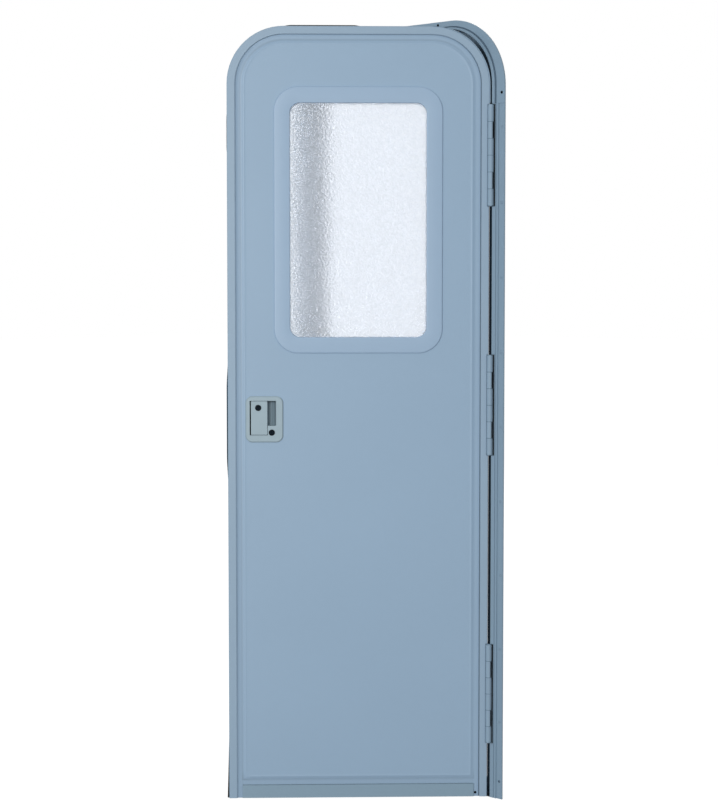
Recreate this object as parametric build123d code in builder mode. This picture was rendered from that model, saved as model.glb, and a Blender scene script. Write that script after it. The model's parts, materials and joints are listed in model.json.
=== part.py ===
from build123d import *
from math import cos, radians, sin
import os

# Caravan entry door in its flanged frame, hinged on the right as seen from outside.
# Outside is -Y, +X is to the right seen from outside, +Z is up.
# The wall surface is the plane Y = 0, and the frame stands on Z = 0.
# The leaf is drawn swung open about its hinge pins, as it stands at rest.

os.makedirs("parts", exist_ok=True)

# Leaf
leaf_width = 602.0
leaf_height = 1785.0
leaf_thickness = 36.0
leaf_radius = 131.0
leaf_foot = 1.0
edge_gap = 5.0
latch_gap = 6.5
open_angle = 45.0

# Frame section
face_rise = 5.0
band_width = 18.0
flange_width = 17.0
flange_thickness = 2.5
flange_bead = 1.6
bead_rise = 0.8
frame_wall = 3.0
groove_inset = 10.5
groove_width = 2.5
groove_depth = 1.6
leg_depth = 20.0
leg_wall = 2.0
stop_width = 14.0
stop_wall = 2.0
head_band = 4.0
head_flange = 15.0
frame_radius = 160.0
corner_tail = 39.0
head_tail = 66.0
corner_thickness = 3.8
corner_lip = 6.0
corner_channel = 5.0
head_channel = 2.5
corner_web = 1.6
screw_hole = 4.4
screw_count = 9
screw_foot = 41.0
screw_first = 181.0
screw_last = 54.0
corner_screw = 24.0
head_screws = 2

# Seals and sill
seal_width = 10.0
seal_crown = 5.0
seal_height = 5.0
seal_gap = 1.0
seal_flap = 34.0
seal_flap_thickness = 2.0
sill_reach = 18.0
sill_rise = 12.0
sill_wall = 2.0
rib_count = 3
rib_width = 2.0
rib_height = 1.0

# Hinges
hinge_length = 230.0
knuckle_count = 6
barrel_radius = 7.0
barrel_clear = 0.8
knuckle_play = 0.3
pin_radius = 3.0
pin_clear = 0.2
pin_sides = 12
pin_head_radius = 5.0
pin_head = 1.6
hinge_plate = 1.8
hinge_plate_depth = 24.0
hinge_notch = 9.0
hinge_arm_sink = 0.6
hinge_low = 244.0
hinge_drop = 293.0
hinge_mid_shift = 50.0

# Leaf build-up
trim_band = 18.0
trim_lip = 13.0
trim_lip_thickness = 2.0
trim_wall = 4.0
trim_bevel = 1.5
trim_back = 24.0
back_wall = 2.0
skin_drop = 3.8
skin_thickness = 1.5
skin_groove = 1.5
inner_skin_thickness = 1.0
skin_clear = 1.0
field_inset = 31.0
field_foot = 43.0
field_rise = 1.8
field_roll = 10.0
field_drop = 1.5
rail_height = 30.0
rail_lip = 12.0
rail_rise = 2.8

# Window
glass_width = 314.0
glass_radius = 24.0
ring_width = 37.0
ring_radius = 56.0
ring_thickness = 3.5
ring_bevel = 1.2
window_drop = 137.0
window_sill = 1038.0
window_cut = 16.0
glass_lap = 10.0
glass_thickness = 4.0
inner_ring_wall = 5.0

# Paddle latch
lock_edge = 84.0
lock_height = 886.0
bezel_width = 87.0
bezel_height = 107.0
bezel_radius = 16.0
bezel_thickness = 4.0
bezel_bevel = 2.5
housing_width = 74.0
housing_height = 94.0
housing_depth = 24.0
housing_radius = 5.0
housing_clear = 0.5
paddle_left = -30.8
paddle_right = 7.0
paddle_low = -35.9
paddle_high = 41.7
paddle_thickness = 4.0
paddle_sink = 0.5
paddle_round = 2.5
paddle_gap = 0.9
paddle_hinge_gap = 2.8
paddle_pocket = 13.0
paddle_knuckle = 3.2
paddle_pin_inset = 3.5
paddle_pin_radius = 1.5
paddle_pin_seat = 3.0
finger_right = 27.0
finger_low = -15.0
finger_depth = 19.0
key_radius = 7.0
key_plug_radius = 5.0
key_plug_clear = 0.2
key_proud = 1.0
keyway_width = 1.4
keyway_height = 6.0
keyway_depth = 3.0
latch_key_u = -14.1
latch_key_v = 26.4
latch_key_length = 10.0
deadbolt_u = 17.1
deadbolt_v = -30.8

# Latch edge
edge_plate_height = 110.0
edge_plate_width = 22.0
edge_plate_thickness = 1.5
bolt_width = 12.0
latch_bolt_height = 20.0
dead_bolt_height = 16.0
bolt_spacing = 48.0
bolt_clear = 0.3

# Inside handle
inner_plate_thickness = 3.0
inner_plate_radius = 10.0
lever_length = 58.0
lever_width = 13.0
lever_thickness = 9.0
lever_stand = 10.0
knob_radius = 13.0
knob_thickness = 14.0
knob_grip = 7.0
knob_grip_length = 21.0

# Places worked out from the sizes above, measured across (u), in depth (y) and up (z)
leaf_half = leaf_width / 2
opening_half = leaf_half + (edge_gap + latch_gap) / 2
face_width = band_width + flange_width
frame_half = opening_half + face_width
leaf_top = leaf_foot + leaf_height
opening_top = leaf_top + edge_gap
opening_radius = leaf_radius + edge_gap
frame_top = opening_top + head_band + head_flange
corner_foot = frame_top - frame_radius - corner_tail
corner_end = frame_half - frame_radius - head_tail
face_y = -face_rise
flange_y = -flange_thickness
leaf_back = face_y + leaf_thickness
stop_y = leaf_back + seal_gap + seal_height
frame_back = stop_y + stop_wall
screw_u = frame_half - flange_width / 2
frame_pin = opening_half - edge_gap / 2
leaf_pin = leaf_half + edge_gap / 2
pin_y = face_y - edge_gap / 2
pin_x = frame_pin - screw_u
notch_radius = barrel_radius + barrel_clear
knuckle = hinge_length / knuckle_count
trim_width = trim_band + trim_lip
skin_front = face_y + skin_drop
skin_back = skin_front + skin_thickness
lip_back = skin_back + trim_lip_thickness
skin_edge = trim_band + skin_groove
field_y = skin_front - field_rise
core_back = leaf_back - back_wall - inner_skin_thickness
back_y = leaf_back - back_wall
core_foot = leaf_foot + trim_wall
window_height = leaf_height - window_drop - window_sill
glass_height = window_height - 2 * ring_width
window_v = leaf_foot + window_sill + window_height / 2
lock_u = lock_edge - leaf_half
lock_v = leaf_foot + lock_height
bezel_y = field_y - bezel_thickness
paddle_y = bezel_y + paddle_sink
paddle_back = paddle_y + paddle_thickness
paddle_pin_u = lock_u + paddle_left + paddle_pin_inset
paddle_pin_y = paddle_back + paddle_knuckle / 2
edge_mid_y = (face_y + leaf_back) / 2
hinge_upper = leaf_foot + leaf_height - hinge_drop
hinge_lower = leaf_foot + hinge_low
hinge_centres = {
    "lower": hinge_lower,
    "middle": (hinge_lower + hinge_upper) / 2 + hinge_mid_shift,
    "upper": hinge_upper,
}
frame_rows = (0, 2, 3, 5)
door_rows = (1, 4)

# A pose is a swing angle and the pins' place, across from the middle of the opening or of the leaf
frame_pose = (0.0, frame_pin)
leaf_pose = (open_angle, leaf_pin)


def turned(u, y, pose):
    """Place of a point of the closed door after its swing about the hinge pins."""
    angle, pin_u = pose
    turn = radians(angle)
    along = u - pin_u
    deep = y - pin_y
    x = pin_x + along * cos(turn) - deep * sin(turn)
    return x, pin_y + along * sin(turn) + deep * cos(turn)


def upright(y, pose=frame_pose):
    """Plane facing outside at a depth, across and up from the foot of the middle line."""
    turn = radians(pose[0])
    x, depth = turned(0, y, pose)
    return Plane(origin=(x, depth, 0), x_dir=(cos(turn), sin(turn), 0), z_dir=(sin(turn), -cos(turn), 0))


def level(z, pose=frame_pose):
    """Plane facing up at a height, across and in depth."""
    turn = radians(pose[0])
    x, depth = turned(0, 0, pose)
    return Plane(origin=(x, depth, z), x_dir=(cos(turn), sin(turn), 0), z_dir=(0, 0, 1))


def crosscut(u, pose=frame_pose):
    """Plane across the width, in depth and up, facing the hinge side."""
    turn = radians(pose[0])
    x, depth = turned(u, 0, pose)
    return Plane(origin=(x, depth, 0), x_dir=(-sin(turn), cos(turn), 0), z_dir=(cos(turn), sin(turn), 0))


leaf_out = Axis((0, 0, 0), (sin(radians(open_angle)), -cos(radians(open_angle)), 0))


def arch(half, foot, top, radius, mode=Mode.ADD):
    """Upright outline with square feet and rounded top corners."""
    with BuildLine(Plane.XY) as edge:
        FilletPolyline((-half, foot), (-half, top), (half, top), (half, foot), radius=radius)
        Line((half, foot), (-half, foot))
    make_face(edge.edges(), mode=mode)


def outline(points):
    """Closed outline through corner points."""
    with BuildLine(Plane.XY) as edge:
        Polyline(*points, close=True)
    make_face(edge.edges())


def panel(u_low, u_high, v_low, v_high, mode=Mode.ADD):
    """Rectangle between two limits each way."""
    with Locations(((u_low + u_high) / 2, (v_low + v_high) / 2)):
        Rectangle(u_high - u_low, v_high - v_low, mode=mode)


def write(piece, name):
    """Label a finished piece and write it."""
    piece.part.label = name
    export_step(piece.part, f"parts/{name}.step")


# Jambs: hinge band, screw flange with an edge bead, locating leg and stop lip
jamb_section = [
    (0, face_y),
    (groove_inset, face_y),
    (groove_inset, face_y + groove_depth),
    (groove_inset + groove_width, face_y + groove_depth),
    (groove_inset + groove_width, face_y),
    (band_width, face_y),
    (band_width, flange_y),
    (face_width - flange_bead, flange_y),
    (face_width - flange_bead, flange_y - bead_rise),
    (face_width, flange_y - bead_rise),
    (face_width, 0),
    (band_width, 0),
    (band_width, leg_depth),
    (band_width - leg_wall, leg_depth),
    (band_width - leg_wall, face_y + frame_wall),
    (frame_wall, face_y + frame_wall),
    (frame_wall, frame_back),
    (-stop_width, frame_back),
    (-stop_width, stop_y),
    (0, stop_y),
]
screw_pitch = (corner_foot - screw_last - screw_first) / (screw_count - 1)
screw_heights = [screw_foot] + [screw_first + row * screw_pitch for row in range(screw_count)]

with BuildPart() as hinge_jamb:
    with BuildSketch(level(0)):
        outline([(opening_half + u, y) for u, y in jamb_section])
    extrude(amount=corner_foot)
    with BuildSketch(upright(0)):
        with Locations(*[(screw_u, z) for z in screw_heights]):
            Circle(screw_hole / 2)
    extrude(amount=face_rise, mode=Mode.SUBTRACT)
    for centre in hinge_centres.values():
        with BuildSketch(level(centre - hinge_length / 2 - pin_head - knuckle_play)):
            with Locations((frame_pin, pin_y)):
                Circle(notch_radius)
            panel(frame_pin, opening_half + hinge_notch, pin_y, face_y + frame_wall)
        extrude(amount=hinge_length + 2 * (pin_head + knuckle_play), mode=Mode.SUBTRACT)
write(hinge_jamb, "hinge_jamb")

strike_low = lock_v - edge_plate_height / 2
strike_high = lock_v + edge_plate_height / 2
bolt_heights = {"latch": lock_v + bolt_spacing / 2, "dead": lock_v - bolt_spacing / 2}
bolt_sizes = {"latch": latch_bolt_height, "dead": dead_bolt_height}

with BuildPart() as latch_jamb:
    with BuildSketch(level(0)):
        outline([(-opening_half - u, y) for u, y in jamb_section])
    extrude(amount=corner_foot)
    with BuildSketch(upright(0)):
        with Locations(*[(-screw_u, z) for z in screw_heights]):
            Circle(screw_hole / 2)
    extrude(amount=face_rise, mode=Mode.SUBTRACT)
    with BuildSketch(crosscut(-opening_half)):
        panel(edge_mid_y - edge_plate_width / 2, edge_mid_y + edge_plate_width / 2, strike_low, strike_high)
    extrude(amount=-edge_plate_thickness, mode=Mode.SUBTRACT)
    with BuildSketch(crosscut(-opening_half)):
        for bolt, height in bolt_heights.items():
            with Locations((edge_mid_y, height)):
                Rectangle(bolt_width + 2 * bolt_clear, bolt_sizes[bolt] + 2 * bolt_clear)
    extrude(amount=-frame_wall, mode=Mode.SUBTRACT)
write(latch_jamb, "latch_jamb")

with BuildPart() as strike_plate:
    with BuildSketch(crosscut(-opening_half)):
        panel(edge_mid_y - edge_plate_width / 2, edge_mid_y + edge_plate_width / 2, strike_low, strike_high)
        for bolt, height in bolt_heights.items():
            with Locations((edge_mid_y, height)):
                Rectangle(bolt_width + 2 * bolt_clear, bolt_sizes[bolt] + 2 * bolt_clear, mode=Mode.SUBTRACT)
    extrude(amount=-edge_plate_thickness)
write(strike_plate, "strike_plate")

# Header between the corner pieces
head_section = [
    (face_y, opening_top),
    (face_y, opening_top + head_band),
    (flange_y, opening_top + head_band),
    (flange_y, frame_top),
    (0, frame_top),
    (0, opening_top + frame_wall),
    (frame_back, opening_top + frame_wall),
    (frame_back, opening_top - stop_width),
    (stop_y, opening_top - stop_width),
    (stop_y, opening_top),
]
head_screw_v = frame_top - head_flange / 2

with BuildPart() as header:
    with BuildSketch(crosscut(-corner_end)):
        outline(head_section)
    extrude(amount=2 * corner_end)
    with BuildSketch(upright(0)):
        with Locations((0, head_screw_v)):
            with GridLocations(corner_end, head_flange, head_screws, 1):
                Circle(screw_hole / 2)
    extrude(amount=face_rise, mode=Mode.SUBTRACT)
write(header, "header")

# Corner pieces: a flat flange and a raised lip with a channel between, a return wall and the stop lip
# Each layer is its back, its thickness, and how far its two edges lie outside the opening, side and head
groove_out = corner_lip + corner_channel
groove_up = head_band + head_channel
corner_layers = (
    (0, corner_web, 0, 0, face_width, head_band + head_flange, frame_radius),
    (0, corner_thickness, groove_out, groove_up, face_width, head_band + head_flange, frame_radius),
    (0, face_rise, 0, 0, corner_lip, head_band, opening_radius + head_band),
    (frame_back, frame_back - face_y, 0, 0, frame_wall, frame_wall, opening_radius + frame_wall),
    (frame_back, stop_wall, -stop_width, -stop_width, frame_wall, frame_wall, opening_radius + frame_wall),
)
for side, name in ((1, "hinge_corner"), (-1, "latch_corner")):
    corner_window = (side * (corner_end + frame_half + 1) / 2, (corner_foot + frame_top + 1) / 2)
    corner_span = (frame_half + 1 - corner_end, frame_top + 1 - corner_foot)
    with BuildPart() as corner:
        for back, thick, in_side, in_head, out_side, out_head, out_radius in corner_layers:
            with BuildSketch(upright(back)):
                arch(opening_half + out_side, 0, opening_top + out_head, out_radius)
                arch(
                    opening_half + in_side,
                    0,
                    opening_top + in_head,
                    opening_radius + in_head,
                    mode=Mode.SUBTRACT,
                )
                with Locations(corner_window):
                    Rectangle(*corner_span, mode=Mode.INTERSECT)
            extrude(amount=thick)
        with BuildSketch(upright(0)):
            with Locations(
                (side * screw_u, corner_foot + corner_screw),
                (side * (corner_end + corner_screw), head_screw_v),
            ):
                Circle(screw_hole / 2)
        extrude(amount=face_rise, mode=Mode.SUBTRACT)
    write(corner, name)

# Sill behind the leaf: stop upstand, ribbed tread and back leg
sill_half = opening_half - stop_width
sill_section = [
    (stop_y, 0),
    (stop_y, leaf_foot + stop_width),
    (frame_back, leaf_foot + stop_width),
    (frame_back, sill_rise),
    (frame_back + sill_reach, sill_rise),
    (frame_back + sill_reach, 0),
    (frame_back + sill_reach - sill_wall, 0),
    (frame_back + sill_reach - sill_wall, sill_rise - sill_wall),
    (frame_back, sill_rise - sill_wall),
    (frame_back, 0),
]
with BuildPart() as sill:
    with BuildSketch(crosscut(-sill_half)):
        outline(sill_section)
    extrude(amount=2 * sill_half)
    with BuildSketch(crosscut(-sill_half)):
        with Locations((frame_back + sill_reach / 2, sill_rise + rib_height / 2)):
            with GridLocations(sill_reach / (rib_count + 1), rib_height, rib_count, 1):
                Rectangle(rib_width, rib_height)
    extrude(amount=2 * sill_half)
write(sill, "sill")

# Bulb seals on the stop lips, crowned towards the leaf; the one round the frame has a flap into the doorway
seal_path_half = opening_half - stop_width / 2
seal_path_top = opening_top - stop_width / 2
seal_section = [
    (-seal_width / 2, stop_y),
    (-seal_crown / 2, stop_y - seal_height),
    (seal_crown / 2, stop_y - seal_height),
    (seal_width / 2, stop_y - seal_flap_thickness),
    (seal_flap, stop_y - seal_flap_thickness),
    (seal_flap, stop_y),
]
with BuildPart() as jamb_seal:
    with BuildLine(upright(stop_y)) as seal_path:
        FilletPolyline(
            (-seal_path_half, 0),
            (-seal_path_half, seal_path_top),
            (seal_path_half, seal_path_top),
            (seal_path_half, 0),
            radius=opening_radius - stop_width / 2,
        )
    with BuildSketch(level(0)):
        outline([(-seal_path_half + inward, y) for inward, y in seal_section])
    sweep(path=seal_path.wire())
write(jamb_seal, "jamb_seal")

sill_seal_v = leaf_foot + stop_width / 2
sill_seal_half = seal_path_half - seal_flap
with BuildPart() as sill_seal:
    with BuildSketch(crosscut(-sill_seal_half)):
        with Locations((stop_y, sill_seal_v)):
            Ellipse(seal_height, seal_width / 2)
        panel(stop_y, stop_y + 2 * seal_height, sill_seal_v - seal_width, sill_seal_v + seal_width,
              mode=Mode.SUBTRACT)
    extrude(amount=2 * sill_seal_half)
write(sill_seal, "sill_seal")

# Hinges: six knuckles on one pin, two of them on the leaf, with plates folded into the running gap
# The frame's knuckles also have an arm each, across the notch in the jamb
# The hidden bores and pin shafts have few sides
arm_y = face_y + hinge_arm_sink
for place, centre in hinge_centres.items():
    foot = centre - hinge_length / 2
    for body, pose, rows, plate_u, arm_reach in (
        ("frame", frame_pose, frame_rows, opening_half - hinge_plate, opening_half + hinge_notch - frame_pin),
        ("door", leaf_pose, door_rows, leaf_half, 0),
    ):
        barrel = (pose[1], pin_y)
        with BuildPart() as hinge_half:
            with BuildSketch(level(foot, pose)):
                panel(plate_u, plate_u + hinge_plate, pin_y + notch_radius, pin_y + hinge_plate_depth)
            extrude(amount=hinge_length)
            for row in rows:
                with BuildSketch(level(foot + row * knuckle + knuckle_play, pose)):
                    with Locations(barrel):
                        Circle(barrel_radius)
                    panel(plate_u, plate_u + hinge_plate, pin_y, pin_y + hinge_plate_depth)
                    if arm_reach:
                        panel(pose[1], pose[1] + arm_reach, arm_y, arm_y + hinge_plate)
                extrude(amount=knuckle - 2 * knuckle_play)
            with BuildSketch(level(foot, pose)):
                with Locations(barrel):
                    RegularPolygon(pin_radius + pin_clear, pin_sides, major_radius=False)
            extrude(amount=hinge_length, mode=Mode.SUBTRACT)
        write(hinge_half, f"{body}_hinge_{place}")

    with BuildPart() as hinge_pin:
        with BuildSketch(level(foot)):
            with Locations((frame_pin, pin_y)):
                RegularPolygon(pin_radius, pin_sides)
        extrude(amount=hinge_length)
        for end, up in ((foot + knuckle_play, -1), (foot + hinge_length - knuckle_play, 1)):
            with BuildSketch(level(end)):
                with Locations((frame_pin, pin_y)):
                    Circle(pin_head_radius)
            extrude(amount=up * pin_head)
    write(hinge_pin, f"hinge_pin_{place}")

# Edge trim: one bent channel up the latch stile, round the top and down the hinge stile
# Its front band stands proud of the skin, and a lip behind the skin carries the skin's edge
trim_section = [
    (0, face_y),
    (trim_band, face_y),
    (trim_band, skin_back),
    (trim_width, skin_back),
    (trim_width, lip_back),
    (trim_wall, lip_back),
    (trim_wall, back_y),
    (trim_back, back_y),
    (trim_back, leaf_back),
    (0, leaf_back),
]
with BuildPart() as edge_trim:
    with BuildLine(upright(face_y, leaf_pose)) as trim_path:
        FilletPolyline(
            (-leaf_half, leaf_foot),
            (-leaf_half, leaf_top),
            (leaf_half, leaf_top),
            (leaf_half, leaf_foot),
            radius=leaf_radius,
        )
    with BuildSketch(level(leaf_foot, leaf_pose)) as trim_profile:
        outline([(-leaf_half + edge, y) for edge, y in trim_section])
        chamfer(trim_profile.vertices().group_by(Axis.X)[0], trim_bevel)
    sweep(path=trim_path.wire())
    for centre in hinge_centres.values():
        with BuildSketch(level(centre - hinge_length / 2 - pin_head - knuckle_play, leaf_pose)):
            with Locations((leaf_pin, pin_y)):
                Circle(notch_radius)
        extrude(amount=hinge_length + 2 * (pin_head + knuckle_play), mode=Mode.SUBTRACT)
    with BuildSketch(crosscut(-leaf_half, leaf_pose)):
        panel(edge_mid_y - edge_plate_width / 2, edge_mid_y + edge_plate_width / 2, strike_low, strike_high)
    extrude(amount=edge_plate_thickness, mode=Mode.SUBTRACT)
    with BuildSketch(crosscut(-leaf_half, leaf_pose)):
        for bolt, height in bolt_heights.items():
            with Locations((edge_mid_y, height)):
                Rectangle(bolt_width + 2 * bolt_clear, bolt_sizes[bolt] + 2 * bolt_clear)
    extrude(amount=trim_wall, mode=Mode.SUBTRACT)
write(edge_trim, "edge_trim")

with BuildPart() as latch_face_plate:
    with BuildSketch(crosscut(-leaf_half, leaf_pose)):
        panel(edge_mid_y - edge_plate_width / 2, edge_mid_y + edge_plate_width / 2, strike_low, strike_high)
        for bolt, height in bolt_heights.items():
            with Locations((edge_mid_y, height)):
                Rectangle(bolt_width + 2 * bolt_clear, bolt_sizes[bolt] + 2 * bolt_clear, mode=Mode.SUBTRACT)
    extrude(amount=edge_plate_thickness)
write(latch_face_plate, "latch_face_plate")

for bolt, height in bolt_heights.items():
    with BuildPart() as bolt_nose:
        with BuildSketch(crosscut(-leaf_half, leaf_pose)):
            with Locations((edge_mid_y, height)):
                Rectangle(bolt_width, bolt_sizes[bolt])
        extrude(amount=trim_wall)
    write(bolt_nose, f"{bolt}_bolt")

# Bottom rail between the stiles, with its own lip behind the skin
rail_half = leaf_half - trim_width
rail_y = skin_front - rail_rise
rail_top = leaf_foot + rail_height
lip_top = rail_top + rail_lip
rail_section = [
    (rail_y, leaf_foot),
    (leaf_back, leaf_foot),
    (leaf_back, leaf_foot + trim_back),
    (back_y, leaf_foot + trim_back),
    (back_y, core_foot),
    (lip_back, core_foot),
    (lip_back, lip_top),
    (skin_back, lip_top),
    (skin_back, rail_top),
    (rail_y, rail_top),
]
with BuildPart() as bottom_rail:
    with BuildSketch(crosscut(-rail_half, leaf_pose)):
        outline(rail_section)
    extrude(amount=2 * rail_half)
write(bottom_rail, "bottom_rail")


def window_frame(offset, radius, mode=Mode.ADD):
    """Rounded rectangle round the glass opening, larger by an offset on each side."""
    with Locations((0, window_v)):
        RectangleRounded(glass_width + 2 * offset, glass_height + 2 * offset, radius, mode=mode)


def lock_cut():
    """Hole through the leaf for the lock housing."""
    with Locations((lock_u, lock_v)):
        Rectangle(housing_width + 2 * housing_clear, housing_height + 2 * housing_clear, mode=Mode.SUBTRACT)


cut_radius = glass_radius + window_cut

# Outer skin: a flat border inside the trim's band, cut round the bottom rail, and a raised field that rolls
# down at its edges
with BuildPart() as outer_skin:
    with BuildSketch(upright(skin_front, leaf_pose)):
        arch(leaf_half - field_inset, leaf_foot + field_foot, leaf_top - field_inset, leaf_radius - field_inset)
    extrude(amount=field_rise)
    field_face = outer_skin.faces().sort_by(leaf_out)[-1]
    chamfer(field_face.edges(), length=field_roll, length2=field_drop, reference=field_face)
    with BuildSketch(upright(skin_back, leaf_pose)):
        arch(leaf_half - skin_edge, leaf_foot, leaf_top - skin_edge, leaf_radius - skin_edge)
        panel(
            -rail_half - skin_clear,
            rail_half + skin_clear,
            leaf_foot,
            rail_top + skin_groove,
            mode=Mode.SUBTRACT,
        )
    extrude(amount=skin_thickness)
    with BuildSketch(upright(skin_back, leaf_pose)):
        window_frame(window_cut, cut_radius)
        with Locations((lock_u, lock_v)):
            Rectangle(housing_width + 2 * housing_clear, housing_height + 2 * housing_clear)
    extrude(amount=skin_thickness + field_rise, mode=Mode.SUBTRACT)
write(outer_skin, "outer_skin")

# Core: it fills the leaf behind the lips, and a shallower step of it fills the space between them
with BuildPart() as leaf_core:
    for back, front, inset, foot in (
        (core_back, lip_back, trim_wall, core_foot),
        (lip_back, skin_back, trim_width, lip_top),
    ):
        with BuildSketch(upright(back, leaf_pose)):
            arch(leaf_half - inset, foot, leaf_top - inset, leaf_radius - inset)
            window_frame(window_cut, cut_radius, mode=Mode.SUBTRACT)
            lock_cut()
        extrude(amount=back - front)
write(leaf_core, "leaf_core")

inner_inset = trim_wall + skin_clear
with BuildPart() as inner_skin:
    with BuildSketch(upright(back_y, leaf_pose)):
        arch(leaf_half - inner_inset, core_foot, leaf_top - inner_inset, leaf_radius - inner_inset)
        window_frame(window_cut, cut_radius, mode=Mode.SUBTRACT)
        lock_cut()
    extrude(amount=inner_skin_thickness)
write(inner_skin, "inner_skin")

# Window: outer ring, glass behind its lip, gasket round the glass, inner ring clamping from behind
with BuildPart() as window_ring_outer:
    with BuildSketch(upright(field_y, leaf_pose)):
        window_frame(ring_width, ring_radius)
        window_frame(0, glass_radius, mode=Mode.SUBTRACT)
    extrude(amount=ring_thickness)
    chamfer(window_ring_outer.faces().sort_by(leaf_out)[-1].edges(), ring_bevel)
write(window_ring_outer, "window_ring_outer")

glass_back = field_y + glass_thickness
with BuildPart() as window_glass:
    with BuildSketch(upright(glass_back, leaf_pose)):
        window_frame(glass_lap, glass_radius + glass_lap)
    extrude(amount=glass_thickness)
write(window_glass, "window_glass")

with BuildPart() as window_gasket:
    with BuildSketch(upright(glass_back, leaf_pose)):
        window_frame(window_cut, cut_radius)
        window_frame(glass_lap, glass_radius + glass_lap, mode=Mode.SUBTRACT)
    extrude(amount=glass_thickness)
write(window_gasket, "window_gasket")

with BuildPart() as window_ring_inner:
    with BuildSketch(upright(back_y, leaf_pose)):
        window_frame(inner_ring_wall, glass_radius + inner_ring_wall)
        window_frame(0, glass_radius, mode=Mode.SUBTRACT)
    extrude(amount=back_y - glass_back)
    with BuildSketch(upright(back_y, leaf_pose)):
        window_frame(ring_width, ring_radius)
        window_frame(0, glass_radius, mode=Mode.SUBTRACT)
    extrude(amount=-ring_thickness)
write(window_ring_inner, "window_ring_inner")

# Lock housing: bevelled bezel, pocket behind the paddle, scooped finger recess
pocket_left = paddle_left - paddle_hinge_gap
pocket_low = paddle_low - paddle_gap
pocket_high = paddle_high + paddle_gap
finger_left = paddle_right + paddle_gap
scoop_floor = bezel_y + finger_depth
with BuildPart() as lock_housing:
    with BuildSketch(upright(field_y, leaf_pose)):
        with Locations((lock_u, lock_v)):
            RectangleRounded(bezel_width, bezel_height, bezel_radius)
    extrude(amount=bezel_thickness)
    chamfer(lock_housing.faces().sort_by(leaf_out)[-1].edges(), bezel_bevel)
    with BuildSketch(upright(field_y, leaf_pose)):
        with Locations((lock_u, lock_v)):
            RectangleRounded(housing_width, housing_height, housing_radius)
    extrude(amount=-housing_depth)
    with BuildSketch(upright(bezel_y, leaf_pose)):
        panel(lock_u + pocket_left, lock_u + finger_left, lock_v + pocket_low, lock_v + pocket_high)
    extrude(amount=-paddle_pocket, mode=Mode.SUBTRACT)
    with BuildSketch(level(lock_v + finger_low, leaf_pose)):
        with BuildLine():
            Polyline(
                (lock_u + paddle_right, scoop_floor),
                (lock_u + paddle_right, bezel_y),
                (lock_u + finger_right, bezel_y),
            )
            EllipticalCenterArc(
                (lock_u + paddle_right, bezel_y),
                finger_right - paddle_right,
                finger_depth,
                start_angle=0,
                arc_size=90,
            )
        make_face()
    extrude(amount=pocket_high - finger_low, mode=Mode.SUBTRACT)
    with BuildSketch(upright(bezel_y, leaf_pose)):
        with Locations((lock_u + deadbolt_u, lock_v + deadbolt_v)):
            Circle(key_radius)
    extrude(amount=-housing_depth - bezel_thickness, mode=Mode.SUBTRACT)
    with BuildSketch(level(lock_v + pocket_low - paddle_pin_seat, leaf_pose)):
        with Locations((paddle_pin_u, paddle_pin_y)):
            Circle(paddle_pin_radius)
    extrude(amount=pocket_high - pocket_low + 2 * paddle_pin_seat, mode=Mode.SUBTRACT)
write(lock_housing, "lock_housing")

with BuildPart() as paddle_pin:
    with BuildSketch(level(lock_v + pocket_low - paddle_pin_seat, leaf_pose)):
        with Locations((paddle_pin_u, paddle_pin_y)):
            Circle(paddle_pin_radius)
    extrude(amount=pocket_high - pocket_low + 2 * paddle_pin_seat)
write(paddle_pin, "paddle_pin")

# Paddle: a flat plate on a knuckle along its hinge edge, with the latch lock through it
with BuildPart() as paddle:
    with BuildSketch(upright(paddle_back, leaf_pose)):
        with Locations((lock_u + (paddle_left + paddle_right) / 2, lock_v + (paddle_low + paddle_high) / 2)):
            RectangleRounded(paddle_right - paddle_left, paddle_high - paddle_low, paddle_round)
    extrude(amount=paddle_thickness)
    with BuildSketch(level(lock_v + paddle_low, leaf_pose)):
        with Locations((paddle_pin_u, paddle_pin_y)):
            Circle(paddle_knuckle)
    extrude(amount=paddle_high - paddle_low)
    with BuildSketch(level(lock_v + paddle_low, leaf_pose)):
        with Locations((paddle_pin_u, paddle_pin_y)):
            Circle(paddle_pin_radius + pin_clear)
    extrude(amount=paddle_high - paddle_low, mode=Mode.SUBTRACT)
    with BuildSketch(upright(paddle_y, leaf_pose)):
        with Locations((lock_u + latch_key_u, lock_v + latch_key_v)):
            Circle(key_radius)
    extrude(amount=-paddle_thickness, mode=Mode.SUBTRACT)
write(paddle, "paddle")

# Two key locks: a black barrel and a plug with a keyway that turns in it
for lock, u, v, front, length in (
    ("latch", latch_key_u, latch_key_v, paddle_y - key_proud, latch_key_length),
    ("deadbolt", deadbolt_u, deadbolt_v, bezel_y - key_proud, housing_depth),
):
    with BuildPart() as barrel:
        with BuildSketch(upright(front, leaf_pose)):
            with Locations((lock_u + u, lock_v + v)):
                Circle(key_radius)
                Circle(key_plug_radius + key_plug_clear, mode=Mode.SUBTRACT)
        extrude(amount=-length)
    write(barrel, f"{lock}_barrel")

    with BuildPart() as plug:
        with BuildSketch(upright(front, leaf_pose)):
            with Locations((lock_u + u, lock_v + v)):
                Circle(key_plug_radius)
        extrude(amount=-length)
        with BuildSketch(upright(front, leaf_pose)):
            with Locations((lock_u + u, lock_v + v)):
                Rectangle(keyway_width, keyway_height)
        extrude(amount=-keyway_depth, mode=Mode.SUBTRACT)
    write(plug, f"{lock}_key_plug")

# Inside: plate, release lever and deadbolt knob
lever_v = lock_v + bolt_spacing / 2
knob_v = lock_v - bolt_spacing / 2
plate_back = back_y + inner_plate_thickness
with BuildPart() as inner_lock_plate:
    with BuildSketch(upright(back_y, leaf_pose)):
        with Locations((lock_u, lock_v)):
            RectangleRounded(bezel_width, bezel_height, inner_plate_radius)
    extrude(amount=-inner_plate_thickness)
write(inner_lock_plate, "inner_lock_plate")

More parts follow.
